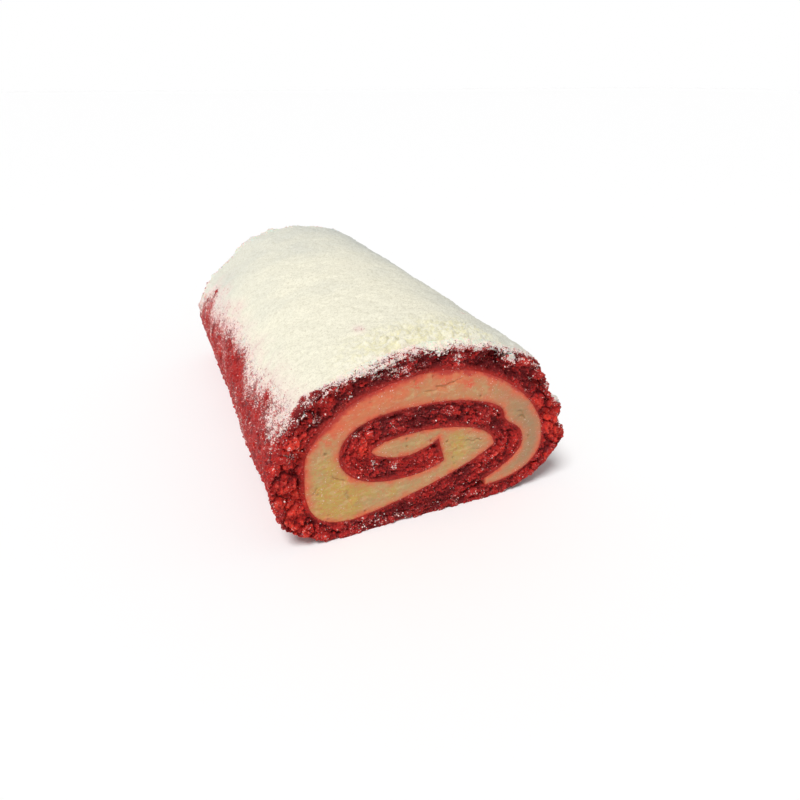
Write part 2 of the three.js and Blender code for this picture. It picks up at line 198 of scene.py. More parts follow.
# both faces of the sheet in the section, each with the station number of its points
def sheetFaces():
    turns = roll["turns"]
    parts = [straightLine(roll["innerEnd"], turns[0], True)]
    parts += [quarterLine(a, b) for a, b in zip(turns, turns[1:])]
    parts.append(straightLine(turns[-1], roll["outerEnd"], False)[1:])
    middle = np.vstack(parts)
    station = np.arange(len(middle)) / roll["finer"]
    turnAt = np.cumsum([turn["steps"] for turn in turns])
    normal = outward(middle[:, :2])
    halfThick = middle[:, 2:] / 2
    outer, outerAt = cutLoops(middle[:, :2] + normal * halfThick, station)
    inner, innerAt = cutLoops(middle[:, :2] - normal * halfThick, station)

    bulge = roll["bulge"]
    away = np.hypot(outer[:, 0] - bulge["x"], outer[:, 1] - bulge["z"])
    pull = bulge["depth"] * bell(away, bulge["radius"])
    heart = outer - [0, turns[0]["z"]]
    outer = outer - heart / np.linalg.norm(heart, axis=1)[:, None] * pull[:, None]

    upright = (outerAt < roll["uprightTo"]) & (outer[:, 0] > roll["innerEnd"]["x"])
    firstZ = outer[0, 1]
    outer, outerAt = outer[~upright], outerAt[~upright]
    outer = np.vstack([[roll["innerEnd"]["x"], firstZ], outer])
    outerAt = np.concatenate([[0], outerAt])

    run = between(outer, outerAt, turnAt[innerRight], turnAt[underside])[::-1]
    tail = (innerAt >= turnAt[outerRight]) & (inner[:, 0] < run[:, 0].max())
    above = np.interp(inner[tail, 0], run[:, 0], run[:, 1]) - roll["seam"]
    pressed = 1 - smooth(inner[tail, 0], *roll["pressed"])
    inner[tail, 1] = mix(np.minimum(inner[tail, 1], above), above, pressed)
    return {"middle": middle, "turnAt": turnAt, "outer": outer, "outerAt": outerAt, "inner": inner,
            "innerAt": innerAt, "above": run}


def arcLengths(line):
    return np.concatenate([[0], np.cumsum(np.linalg.norm(np.diff(line, axis=0), axis=1))])


def evenly(line, spacing):
    arc = arcLengths(line)
    at = np.linspace(0, arc[-1], max(int(round(arc[-1] / spacing)), 1) + 1)
    return np.stack([np.interp(at, arc, line[:, k]) for k in range(line.shape[1])], 1)


faces = sheetFaces()
turnAt = faces["turnAt"]
skinFrom = turnAt[underside] - roll["skinLead"]  # the outermost turn starts here, on the underside
skinMask = faces["outerAt"] >= skinFrom
skinLine = faces["outer"][skinMask]
skinArc = arcLengths(skinLine)
skinNormal = outward(skinLine)
skinLength = skinArc[-1]

# the cream's outer end, where the tucked end of the sheet closes on the turn above it
tailRun = faces["inner"][faces["innerAt"] >= turnAt[outerRight]][::-1]
tip = {"from": 24, "to": 5, "step": -0.2, "room": 0.35}
across = np.arange(tip["from"], tip["to"], tip["step"])
ceiling, ground = (np.interp(across, line[:, 0], line[:, 1]) for line in (faces["above"], tailRun))
creamTipX = across[np.argmax(ceiling - ground < tip["room"])]
sheetLength = arcLengths(faces["middle"][:, :2])[-1]
print(f"section: sheet {sheetLength:.0f} mm long, skin {skinLength:.0f} mm")

# the powder's long edges, as places along the skin line
coat = {"leftHeight": 38.5, "rightHeight": 24, "wander": 5.5, "wanderSize": 26, "thick": 1.1, "bed": 1.2,
        "spacing": 0.56, "rise": 0.18, "fromEnd": 3.4, "overlap": 1.5, "frayed": 0.98, "tuckedIn": 1.5,
        "underGrid": (40, 48),
        "evenBefore": -86,  # its border doesn't wobble nearer the front rim than this
        "frontHaste": 3.2, "backHaste": 1.4}  # it fades out faster towards the front rim

topArc = skinArc[np.argmax(skinLine[:, 1])]
leftArc = skinArc[(skinLine[:, 1] > coat["leftHeight"]) & (skinArc < topArc)][0]
rightArc = skinArc[(skinLine[:, 1] < coat["rightHeight"]) & (skinArc > topArc)][0]


def coatSides(y):
    left = leftArc + coat["wander"] * noise(0, y, 0, coat["wanderSize"], 11)
    right = rightArc + coat["wander"] * noise(0, y, 0, coat["wanderSize"], 12)
    return left, right


# how far inside the coat a place on the skin lies, in mm; negative outside it
def insideCoat(s, y):
    left, right = coatSides(y)
    fromEnd = half - np.abs(y)
    haste = np.where(y < 0, coat["frontHaste"], coat["backHaste"])
    return np.minimum(np.minimum(s - left, right - s), (fromEnd - coat["fromEnd"]) * haste)


# a point of the outside at a length along the skin line and a place along the roll
def skinPoints(s, y, sink=0.0):
    x, z = (np.interp(s, skinArc, skinLine[:, k]) for k in (0, 1))
    nx, nz = (np.interp(s, skinArc, skinNormal[:, k]) for k in (0, 1))
    covered = smooth(insideCoat(s, y), 0, 4)
    fromEnd = half - np.abs(y)
    atEnd = bell(fromEnd, outside["reach"])
    height = outside["dent"] * noise(x, y, z, outside["dentSize"], 1)
    crumble = mix(outside["crumble"], outside["coveredCrumble"], covered) * atEnd
    height += crumble * noise(x, y, z, outside["crumbleSize"], 2)
    height *= smooth(z, -3, 5)  # the underside is nearly flat
    risen = smooth(y + half, 0, outside["swellRise"])
    for lump in outside["lumps"] + outside["swells"]:
        away = np.hypot(x - lump["x"], z - lump["z"]) / lump["reach"]
        part = 1 if lump in outside["lumps"] else risen
        height = height + part * lump["height"] * np.exp(-away**2 - ((y - lump["y"]) / lump["along"]) ** 2)
    rim = outside["rim"]
    worn = rim - np.sqrt(np.clip(rim**2 - np.clip(rim - fromEnd, 0, rim) ** 2, 0, None))
    height = height - sink - worn
    return np.stack([x + nx * height, y + 0 * x, np.maximum(z + nz * height, 0)], -1), np.stack(
        [nx, 0 * nx, nz], -1)


def addObject(name, data):
    made = bpy.data.objects.new(name, data)
    bpy.context.scene.collection.objects.link(made)
    return made


# mesh parts gathered in one list of points, with a few values for each point
class Shell:
    def __init__(self, *names):
        self.count, self.points, self.faces = 0, [], []
        self.arrows = ("facing", "sheet")
        self.values = {name: [] for name in names}

    def add(self, points, **values):
        flat = points.reshape(-1, 3)
        ids = np.arange(self.count, self.count + len(flat)).reshape(points.shape[:-1])
        self.count += len(flat)
        self.points.append(flat)
        for name, kept in self.values.items():
            value = np.asarray(values.get(name, 0.0), float)
            width = 3 if name in self.arrows else 1
            kept.append(np.broadcast_to(value.reshape(-1, width) if value.size > width else value,
                                        (len(flat), width)))
        return ids

    def grid(self, ids):
        quads = np.stack([ids[:-1, :-1], ids[:-1, 1:], ids[1:, 1:], ids[1:, :-1]], -1).reshape(-1, 4)
        self.faces += [quads[:, [0, 1, 2]], quads[:, [0, 2, 3]]]

    # triangles between two rows of points that run the same way but differ in number
    def join(self, a, b):
        i = j = 0
        made = []
        points = np.vstack(self.points)
        alongA, alongB = (arcLengths(points[ids]) for ids in (a, b))
        alongA, alongB = alongA / alongA[-1], alongB / alongB[-1]
        while i < len(a) - 1 or j < len(b) - 1:
            if j == len(b) - 1 or (i < len(a) - 1 and alongA[i + 1] <= alongB[j + 1]):
                made.append((a[i], a[i + 1], b[j]))
                i += 1
            else:
                made.append((a[i], b[j + 1], b[j]))
                j += 1
        self.faces.append(np.array(made))

    def build(self, name):
        shift = np.array([roll["shift"][0], roll["shift"][1], 0])
        points = (np.vstack(self.points) + shift) * mm
        triangles = np.vstack(self.faces).astype(np.int32)
        mesh = bpy.data.meshes.new(name)
        mesh.vertices.add(len(points))
        mesh.vertices.foreach_set("co", points.ravel())
        mesh.loops.add(triangles.size)
        mesh.loops.foreach_set("vertex_index", triangles.ravel())
        mesh.polygons.add(len(triangles))
        mesh.polygons.foreach_set("loop_start", np.arange(0, triangles.size, 3, dtype=np.int32))
        mesh.update(calc_edges=True)
        for key, kept in self.values.items():
            kind, field = ("FLOAT_VECTOR", "vector") if key in self.arrows else ("FLOAT", "value")
            attribute = mesh.attributes.new(key, kind, "POINT")
            attribute.data.foreach_set(field, np.vstack(kept).ravel())
        work = bmesh.new()
        work.from_mesh(mesh)
        bmesh.ops.recalc_face_normals(work, faces=work.faces)
        if work.calc_volume(signed=True) < 0:
            bmesh.ops.reverse_faces(work, faces=work.faces)
        loose = sum(1 for edge in work.edges if len(edge.link_faces) != 2)
        print(f"{name}: {len(work.faces)} triangles, {work.calc_volume() * 1e9:.0f} mm3, {loose} open edges")
        work.to_mesh(mesh)
        work.free()
        return addObject(name, mesh)


# points and triangles that fill a closed outline, the outline's own points first
def fillSection(outline, spacing):
    low, high = outline.min(0), outline.max(0)
    start, end = outline, np.roll(outline, -1, axis=0)
    inside = []
    for row, z in enumerate(np.arange(low[1] + spacing / 2, high[1], spacing * 0.866)):
        hit = (start[:, 1] <= z) != (end[:, 1] <= z)
        a, b = start[hit], end[hit]
        edges = np.sort(a[:, 0] + (z - a[:, 1]) / (b[:, 1] - a[:, 1]) * (b[:, 0] - a[:, 0]))
        x = np.arange(low[0] + (row % 2) * spacing / 2, high[0], spacing)
        x = x[np.searchsorted(edges, x) % 2 == 1]
        inside.append(np.stack([x, np.full(len(x), z)], 1))
    inside = np.vstack(inside)
    inside += chance.uniform(-0.16, 0.16, inside.shape) * spacing
    away = distanceTo(outline, inside)
    inside = inside[away > spacing * 0.6]
    points = np.vstack([outline, inside])
    ring = [(i, (i + 1) % len(outline)) for i in range(len(outline))]
    made = geometry.delaunay_2d_cdt([Vector(p) for p in points], ring, [], 1, 1e-7)
    source = np.array([ids[0] for ids in made[3]])
    return points, source[np.array(made[2])]


def distanceTo(line, points):
    tree = kdtree.KDTree(len(line))
    for k, p in enumerate(line):
        tree.insert((p[0], p[1], 0), k)
    tree.balance()
    return np.array([tree.find((p[0], p[1], 0))[2] for p in points])


# a closed outline from runs that follow on each other, and the point numbers of each run
def joinRuns(runs, spacing):
    points, spans = [], []
    for run in runs:
        line = evenly(run, spacing)
        spans.append((len(points), len(line)))
        points += list(line[:-1])
    total = len(points)
    return np.array(points), [np.arange(first, first + count) % total for first, count in spans]


# node trees: a place for each kind of node, used for shapes and materials alike
class Nodes:
    def __init__(self, tree):
        self.tree = tree

    def add(self, kind, inputs=None, **settings):
        made = self.tree.nodes.new(kind)
        for key, value in settings.items():
            setattr(made, key, value)
        for key, value in (inputs or {}).items():
            sockets = [s for s in made.inputs if s.enabled and s.name == key] if isinstance(key, str) else []
            self.connect(value, sockets[0] if sockets else made.inputs[key])
        return made

    def connect(self, value, socket):
        if isinstance(value, bpy.types.NodeSocket):
            self.tree.links.new(value, socket)
        elif isinstance(value, bpy.types.Node):
            self.tree.links.new(value.outputs[0], socket)
        else:
            socket.default_value = value

    def math(self, operation, *values, clamp=False):
        made = self.add("ShaderNodeMath", dict(enumerate(values)), operation=operation, use_clamp=clamp)
        return made.outputs[0]

    def plus(self, *values, **settings):
        return self.math("ADD", *values, **settings)

    def minus(self, *values, **settings):
        return self.math("SUBTRACT", *values, **settings)

    def times(self, *values, **settings):
        return self.math("MULTIPLY", *values, **settings)

    # a value that lies about a half, stretched to swing about a base
    def around(self, value, depth, base=0.0, clamp=False):
        return self.math("MULTIPLY_ADD", self.minus(value, 0.5), depth, base, clamp=clamp)

    def part(self, value, axis):
        return self.add("ShaderNodeSeparateXYZ", {0: value}).outputs[axis]

    def vector(self, operation, *values):
        return self.add("ShaderNodeVectorMath", dict(enumerate(values)), operation=operation).outputs[0]

    def scale(self, value, factor):
        made = self.add("ShaderNodeVectorMath", {0: value, "Scale": factor}, operation="SCALE")
        return made.outputs[0]

    def noise(self, place, size, detail=2.0, roughness=0.5, seed=0, output="Fac"):
        moved = self.vector("ADD", place, (seed * 13.7, seed * -7.1, seed * 5.3))
        return self.add("ShaderNodeTexNoise", {"Vector": moved, "Scale": 1 / size, "Detail": detail,
                                               "Roughness": roughness}).outputs[output]

    # three noises at once, each about zero
    def drift(self, *values):
        return self.vector("SUBTRACT", self.noise(*values, output="Color"), (0.5, 0.5, 0.5))

    def ramp(self, value, low, high, start=0.0, end=1.0):
        made = self.add("ShaderNodeMapRange", {"Value": value, "From Min": low, "From Max": high,
                                               "To Min": start, "To Max": end},
                        interpolation_type="SMOOTHSTEP")
        return made.outputs[0]

    def colour(self, factor, a, b):
        made = self.add("ShaderNodeMix", data_type="RGBA")
        for number, value in ((0, factor), (6, a), (7, b)):  # the sockets for colours
            self.connect(value, made.inputs[number])
        return made.outputs[2]

    # lays a colour of the looks over another, by a factor or where a value lies in a range
    def tint(self, base, name, value, *span):
        return self.colour(self.ramp(value, *span) if span else value, base, looks[name])

    def value(self, name):
        return self.add("ShaderNodeAttribute", attribute_name=name).outputs["Fac"]


class Shaping(Nodes):
    def __init__(self, name, inputs):
        tree = bpy.data.node_groups.new(name, "GeometryNodeTree")
        super().__init__(tree)
        inputs = {**inputs, "Lowest": (-1.0, -1.0, 0.0), "Highest": (1.0, 1.0, 1.0), "Material": ""}
        tree.interface.new_socket("Geometry", in_out="INPUT", socket_type="NodeSocketGeometry")
        for key, value in inputs.items():
            kind = {float: "NodeSocketFloat", int: "NodeSocketInt", tuple: "NodeSocketVector",
                    str: "NodeSocketMaterial"}[type(value)]
            socket = tree.interface.new_socket(key, in_out="INPUT", socket_type=kind)
            if kind != "NodeSocketMaterial":
                socket.default_value = value
        tree.interface.new_socket("Geometry", in_out="OUTPUT", socket_type="NodeSocketGeometry")
        self.given = tree.nodes.new("NodeGroupInput").outputs
        self.place = self.scale(self.add("GeometryNodeInputPosition"), 1 / mm)

    def read(self, name, kind="FLOAT"):
        made = self.add("GeometryNodeInputNamedAttribute", {"Name": name}, data_type=kind)
        return [s for s in made.outputs if s.enabled][0]

    def keep(self, mesh, name, value):
        made = self.add("GeometryNodeStoreNamedAttribute",
                        {"Geometry": mesh, "Name": name, "Value": value}, data_type="FLOAT", domain="POINT")
        return made.outputs[0]

    def move(self, mesh, offset):
        return self.add("GeometryNodeSetPosition", {"Geometry": mesh, "Offset": offset}).outputs[0]

    # moves the surface out by a height in mm, as far as its relief value lets it
    def lift(self, mesh, height):
        height = self.times(height, self.times(self.read("relief"), mm))
        return self.move(mesh, self.scale(self.read("facing", "FLOAT_VECTOR"), height))

    def per(self, name):
        return self.math("DIVIDE", 1.0, self.given[name])

    # noise whose size is one of the inputs
    def sized(self, name, detail=2.0, roughness=0.5, place=None):
        return self.add("ShaderNodeTexNoise", {
            "Vector": self.place if place is None else place, "Scale": self.per(name), "Detail": detail,
            "Roughness": roughness}).outputs["Fac"]

    # round pits in some cells: how their walls rise with the distance, and which cells are taken
    def pits(self, wall, chosen):
        cell = self.add("ShaderNodeTexVoronoi", {"Vector": self.place, "Scale": self.per("Pit Size")})
        taken = self.ramp(self.part(cell.outputs["Color"], 0), *chosen)
        hollow = self.times(self.ramp(cell.outputs["Distance"], *wall, 1.0, 0.0), taken)
        return self.times(hollow, self.given["Pit Depth"])

    # keeps every point inside the box given by the inputs Lowest and Highest
    def bound(self, mesh):
        where = self.add("GeometryNodeInputPosition").outputs[0]
        held = self.vector("MAXIMUM", where, self.given["Lowest"])
        held = self.vector("MINIMUM", held, self.given["Highest"])
        return self.add("GeometryNodeSetPosition", {"Geometry": mesh, "Position": held}).outputs[0]

    def finish(self, mesh):
        mesh = self.add("GeometryNodeRealizeInstances", {"Geometry": mesh}).outputs[0]
        mesh = self.add("GeometryNodeSetMaterial",
                        {"Geometry": mesh, "Material": self.given["Material"]}).outputs[0]
        last = self.tree.nodes.new("NodeGroupOutput")
        self.tree.links.new(mesh, last.inputs[0])
        return self.tree


# runs a tree on an object and gives the result as a plain mesh object
def shaped(source, tree, values, name, keepSource=False):
    modifier = source.modifiers.new(tree.name, "NODES")
    modifier.node_group = tree
    for item in tree.interface.items_tree:
        if item.item_type == "SOCKET" and item.in_out == "INPUT" and item.name in values:
            modifier[item.identifier] = values[item.name]
    graph = bpy.context.evaluated_depsgraph_get()
    mesh = bpy.data.meshes.new_from_object(source.evaluated_get(graph), preserve_all_data_layers=True,
                                           depsgraph=graph)
    source.modifiers.remove(modifier)
    if not keepSource:
        bpy.data.objects.remove(source)
    mesh.name = name
    mesh.polygons.foreach_set("use_smooth", np.ones(len(mesh.polygons), bool))
    print(f"{name}: {len(mesh.polygons)} faces")
    return addObject(name, mesh)


clear = 0.0001  # what is kept between the box of the solids and every point
box = {"Lowest": tuple(cadLow + Vector((clear, clear, 0))),
       "Highest": tuple(cadHigh - Vector((clear, clear, clear / 2)))}

dust = {
    # where powder has come off the outside, and below zero where more of it stuck
    "spots": places("x y z reach along amount", (
        (40, -95, 56, 17, 7, 0.9), (-54, -20, 41, 6, 14, 0.4), (-53, 0, 43, 5, 7, 0.4),
        (-53, 36, 40, 6, 14, -0.25), (-50, 90, 45, 15, 16, -1.1), (-53, -80, 41, 8, 12, -0.4),
        (-50, 59, 47.5, 1.4, 1.8, 1.4), (-50, -66, 47, 1.3, 1.3, 1.4), (-15.8, -67.8, 65.9, 2.4, 4.5, 0.5),
        (27, -62, 62, 1.4, 2.4, 1.0), (-42.5, -88, 55, 1.4, 1.4, 1.2), (-45, -91, 52.5, 1.6, 1.6, 1.2),
        (-39, -91, 57.5, 1.8, 1.4, 1.2),
    )),
    "fromFront": 3.6, "fromBack": 1.0, "lost": 0.75,  # the cover thins out this close to the cut faces
    "closed": 1.45,  # the level of a closed cover
    "least": 0.04, "rises": ((0.12, 10, 30), (0.5, 35, 49), (0.6, 44, 60)),  # up the left side
    "right": (10, 34), "frontLess": {"y": -86, "reach": 30, "amount": 0.3, "heights": (66, 48)},
}


# how thickly white dust lies on the outside, from 0 for none to the level of a closed cover
def dustOnSkin(points, s, y, grainy=True):
    x, z = points[..., 0], points[..., 2]
    fromEnd = half - np.abs(y)
    left = dust["least"]
    for amount, low, high in dust["rises"]:
        left = left + amount * smooth(z, low, high)
    level = np.where(s < topArc, left, dust["closed"] * smooth(z, *dust["right"]))
    less = dust["frontLess"]
    level = level - less["amount"] * bell(y - less["y"], less["reach"]) * (s < topArc) * smooth(
        z, *less["heights"])
    wander = 1.5 * noise(x, y, z, 7, 24)
    reach = np.where(y < 0, dust["fromFront"], dust["fromBack"])
    level = level - dust["lost"] * bell(np.clip(fromEnd + wander, 0, None), reach)
    bareX, bareZ = (np.interp(s, skinArc, skinLine[:, k]) for k in (0, 1))
    for spot in dust["spots"]:
        away = ((bareX - spot["x"]) ** 2 + (bareZ - spot["z"]) ** 2) / spot["reach"] ** 2
        level = level - spot["amount"] * np.exp(-away - ((y - spot["y"]) / spot["along"]) ** 2)
    uneven = 0.2 * noise(x, y, z, 11, 21) + 0.1 * noise(x, y, z, 5, 25)
    if grainy:
        uneven = uneven + (0.12 * noise(x, y, z, 4, 22) + 0.1 * noise(x, y, z, 1.7, 23))
    level = level + uneven * smooth(z, 62, 50)
    return np.clip(level, 0, dust["closed"]) * smooth(z, 3, 12)


# 1 where the powder lies as a coat, 0 where it is only dust on the crumb
def coatCover(s, y):
    s, y = np.broadcast_arrays(np.asarray(s, float), np.asarray(y, float))
    points = skinPoints(s, y)[0]
    level = dustOnSkin(points, s, y, grainy=False)
    inside = insideCoat(s, y)
    x, y, z = np.moveaxis(points, -1, 0)
    wobble = (2.2 * noise(x, y, z, 6, 26) + 1.2 * noise(x, y, z, 2.6, 27)) * (y > coat["evenBefore"])
    return np.maximum(smooth(level, 0.8, 1.2) * smooth(inside + wobble, 0, 8), smooth(inside, 9, 14))


# the sponge makes room for the coat only where the coat has come up to its surface
def spongeSink(s, y):
    return coat["bed"] * smooth(coatCover(s, y), 0.35, 1)


sponge = {
    "frontSpacing": 0.32, "backSpacing": 0.56, "rimSpacing": 0.55, "rows": 1.0, "rimRows": 15, "rimReach": 12,
    "coveredRows": 5.0, "coveredFrom": 17, "bottomRows": 3.0,  # wider steps where little shows
    "cut": 92.7,  # the cut faces' mean distance from the roll's middle
    "heart": (0, 0, 30),  # the edges of the cut faces turn away from here
    "seam": {"left": -6.5, "top": 13, "x": -6, "heights": (4.4, 12)},  # where the tucked end closes
    # places on the front cut where the crumb is torn deeper
    "bites": places("x z reach depth", (
        (27, 60.5, 4.2, 3.2), (20, 60, 3.0, 1.8), (49.5, 30.4, 2.6, 2.4), (-46.5, 36.5, 2.6, 2.2),
        (-47.5, 21.0, 3.4, 2.0), (-50.5, 3.0, 5.0, 2.6), (27.5, 33.5, 3.4, 1.4), (-24.5, 40.5, 3.0, 1.2),
        (44.5, 45.5, 3.0, 2.0), (-39, 50.5, 2.4, 1.2),
    )),
    # large crumbs that stand forward, with a crevice round them
    "lumps": places("x z reach", (
        (44.7, 37.4, 3.4), (51.6, 36.2, 2.4), (55.4, 21.6, 3.9), (50.2, 25, 2.6), (-51.6, 28, 3.9),
        (-49.4, 13, 4.2), (-48.2, 43, 2.7), (-45.8, 6.8, 2.3), (43, 49.5, 2.5), (-43, 51, 2.2),
        (53.5, 12.5, 2.4), (-22.2, 39.6, 1.6), (-50.4, 35.6, 2.2), (29.5, 57.2, 3.0), (-54.6, 20.5, 2.4),
    )),
    # white powder caught on the crumb
    "flecks": places("x z reach amount", (
        (-39.7, 48.6, 1.6, 0.7), (-28.3, 54.8, 1.3, 0.6), (-9.3, 49.6, 1.5, 0.7), (-27.2, 40.2, 1.1, 0.7),
        (-19, 60.6, 3.4, 0.4), (-12.5, 61, 3.2, 0.4), (41.3, 47.1, 1.2, 0.6), (7.4, 41.5, 1.1, 0.6),
        (13.4, 19, 1.2, 0.6), (-49.5, 37.4, 2.2, 0.7), (-20.7, 26.7, 1.2, 0.8), (-13.7, 24.7, 1.3, 0.6),
        (-20, 3, 2.0, 0.35), (-11, 1.5, 2.4, 0.3), (4, 2.2, 1.5, 0.35), (52.4, 37, 1.6, 0.6),
        (30.4, 57.8, 2.6, 0.9), (-4, 45.4, 1.0, 0.5), (38.9, 43.6, 0.6, 0.9), (10, 62.5, 2.4, 0.4),
    )),
    # brighter red is above zero, maroon below
    "warmth": places("x z reach amount", (
        (-48, 17, 13, 0.5), (-45, 40, 6, 0.3), (52, 24, 8, 0.3), (-26, 33, 6, 0.4), (3, 21, 6, 0.35),
        (33, 24, 6, 0.25), (13, 43, 5, 0.15), (-8, 64, 16, -0.45), (26, 60, 8, -0.45), (27, 33, 4, -0.35),
        (-6, 46, 7, -0.35), (-24, 44, 4, -0.3), (-41, 50, 5, -0.2), (-33, 3, 9, -0.3), (6, 27.5, 3, -0.3),
        (-12, 3, 10, -0.35), (10, 4, 10, -0.3), (30, 5, 9, -0.25),
    )),
}


# where a place in the section lies in the sheet: how far along it, and how far from its middle line
middleLine = faces["middle"][:, :2]
middleArc = arcLengths(middleLine)
middleNormal = outward(middleLine)
middleTree = kdtree.KDTree(len(middleLine))
for number, place in enumerate(middleLine):
    middleTree.insert((place[0], place[1], 0), number)
middleTree.balance()


def sheetPlace(x, z):
    nearest = np.array([middleTree.find((a, b, 0))[1] for a, b in zip(x, z)])
    away = np.stack([x, z], 1) - middleLine[nearest]
    ahead = np.stack([middleNormal[nearest, 1], -middleNormal[nearest, 0]], 1)
    return middleArc[nearest] + (away * ahead).sum(1), (away * middleNormal[nearest]).sum(1)


def placeSum(spots, x, z, key):
    total = 0 * x
    for spot in spots:
        total = total + spot[key] * bell(np.hypot(x - spot["x"], z - spot["z"]), spot["reach"])
    return total


# how far a named lump lifts a place on the cut, and how deep the crevice round it is, both from 0 to 1
def lumpShape(x, z):
    lift, crevice = 0 * x, 0 * x
    ragged = 0.16 * noise(x, 0, z, 2.3, 35) + 0.07 * noise(x, 0, z, 0.9, 36)
    for lump in sponge["lumps"]:
        away = np.hypot(x - lump["x"], z - lump["z"]) / lump["reach"] + ragged
        lift = np.maximum(lift, smooth(away, 1.05, 0.75))
        crevice = np.maximum(crevice, bell(away - 1.16, 0.16))
    return lift, crevice * (1 - lift)


def dustOnCut(x, z, fromSkin):
    def patchy(size, seed, least):
        return np.clip(noise(x, 0, z, size, seed) - least, 0, 1)

    rim = 0.6 * bell(fromSkin, 1.6) * smooth(z, 38, 54) * (0.3 + patchy(2, 32, -0.2))
    middle = 0.5 * bell(x + 8, 20) * bell(fromSkin, 3) * smooth(z, 48, 57)
    low = 0.25 * bell(z, 7) * bell(x + 4, 22) * patchy(3.4, 33, 0)
    patches = 0.25 * patchy(2.6, 31, 0.45)
    flecks = placeSum(sponge["flecks"], x, z, "amount") * (0.55 + 0.9 * patchy(0.9, 37, -0.3))
    return np.clip(rim + middle * patchy(1.3, 34, -0.2) + flecks + low + patches, 0, 1)


skinRun = 2  # the number of the outside's run among those that make the outline of a cut face


def cutFace(shell, sections, end, spacing):
    outline, spans = joinRuns(sections, spacing)
    y = end * half
    # the outside's edge is drawn in by the dents and the worn rim there
    skinIds = spans[skinRun]
    s = mix(skinLength, 0, np.linspace(0, 1, len(skinIds)))
    ringY = end * (half - rimInset)
    sink = spongeSink(s, ringY)
    outline[skinIds] = skinPoints(s, ringY, sink)[0][:, [0, 2]]
    points, triangles = fillSection(outline, spacing)
    x, z = points.T
    fromSkin = distanceTo(outline[skinIds], points)
    hidden = np.setdiff1d(np.arange(len(outline)), skinIds)
    # the closed seam of the tucked end is no border of the cream
    closes = sponge["seam"]
    hiddenX, hiddenZ = outline[hidden].T
    seam = (hiddenZ < closes["top"]) & (hiddenX < creamTipX) & (hiddenX > closes["left"])
    seam &= hiddenZ < np.interp(hiddenX, [closes["x"], creamTipX], closes["heights"])
    fromCream = distanceTo(outline[hidden[~seam]], points)
    radius = outside["rim"]
    inset = np.clip(radius - (fromSkin + rimInset), 0, radius)
    worn = radius - np.sqrt(radius**2 - inset**2)
    front = end < 0
    lift, crevice = lumpShape(x, z) if front else (0 * x, 0 * x)
    away = smooth(fromCream, 0, 2.5)
    depth = placeSum(sponge["bites"], x, z, "depth") * (1 - lift) if front else 0
    depth = depth + (1.0 * crevice - 0.8 * lift) * away
    surface = half - sponge["cut"]
    place = np.stack([x, y - end * (worn + surface * smooth(fromSkin, 0, 2) + depth), z], 1)
    near = bell(fromSkin, 1.2)[:, None]
    out = (np.stack([x, 0 * x, z], 1) - sponge["heart"]) * [1, 0, 1]
    facing = np.array([0, end, 0]) + near * out / np.linalg.norm(out, axis=1)[:, None]
    facing /= np.linalg.norm(facing, axis=1)[:, None]
    warmth = placeSum(sponge["warmth"], x, z, "amount") if front else 0.25 * noise(x, 5, z, 9, 51)
    # named lumps are painted brighter and the crevices round them darker: painted light and painted shade
    warmth = warmth + 0.3 * lift - 0.4 * crevice
    level = dustOnCut(x, z, fromSkin)
    inLayer = smooth(fromCream, 0.8, 2)
    edge = bell(fromSkin, 2) * (smooth(z, 52, 40) if front else smooth(z, 38, 26)) * inLayer
    along, aside = sheetPlace(x, z)
    ids = shell.add(place, facing=facing, sheet=np.stack([along, y + 0 * x, aside], 1), torn=1,
                    relief=0.06 + 0.94 * smooth(fromCream, 0, 2.2),
                    dust=level, fringe=bell(fromCream, 1.3), warmth=warmth,
                    crumbs=0.25 * inLayer + 0.8 * edge, grains=(0.007 + 0.7 * level) * inLayer,
                    chunks=0.8 * edge)
    shell.faces.append(ids[triangles])
    return [ids[span] for span in spans]


